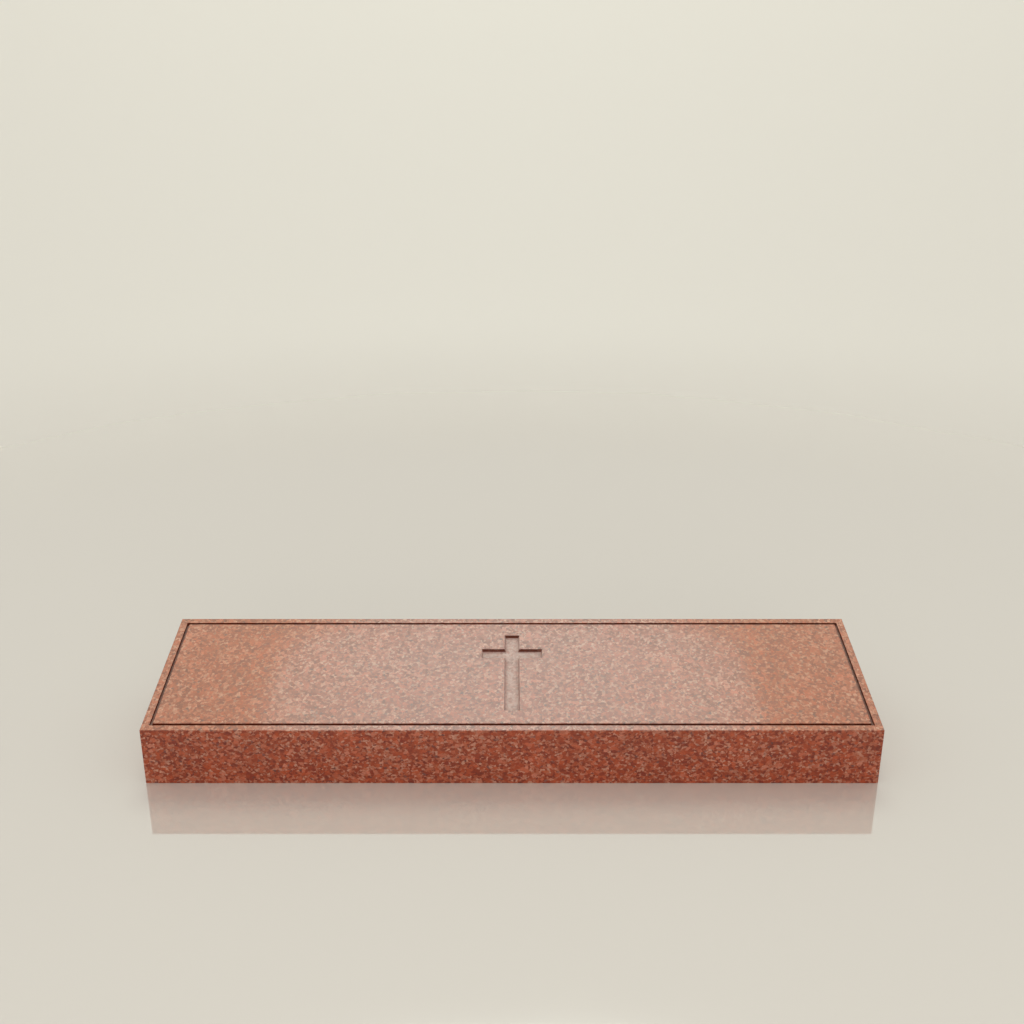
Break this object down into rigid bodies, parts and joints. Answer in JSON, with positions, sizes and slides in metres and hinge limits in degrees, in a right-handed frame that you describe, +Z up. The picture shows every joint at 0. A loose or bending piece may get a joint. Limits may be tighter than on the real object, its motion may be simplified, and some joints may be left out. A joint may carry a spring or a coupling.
{
  "type": "bevel grave marker",
  "caption": "Low block of polished red granite with a sloping top, a border groove round the sloping face and a plain Latin cross sunk in its middle.",
  "frame": {"origin": "centre of the flat underside, on the ground that the stone lies on", "axes": "+X along the stone from end to end, -Y out of the low front face, +Z up"},
  "size_m": [1.2192, 0.3048, 0.1523],
  "materials": {
    "red_granite": "polished"
  },
  "bodies": {
    "root": {"granite_marker": "red_granite"}
  },
  "joints": []
}
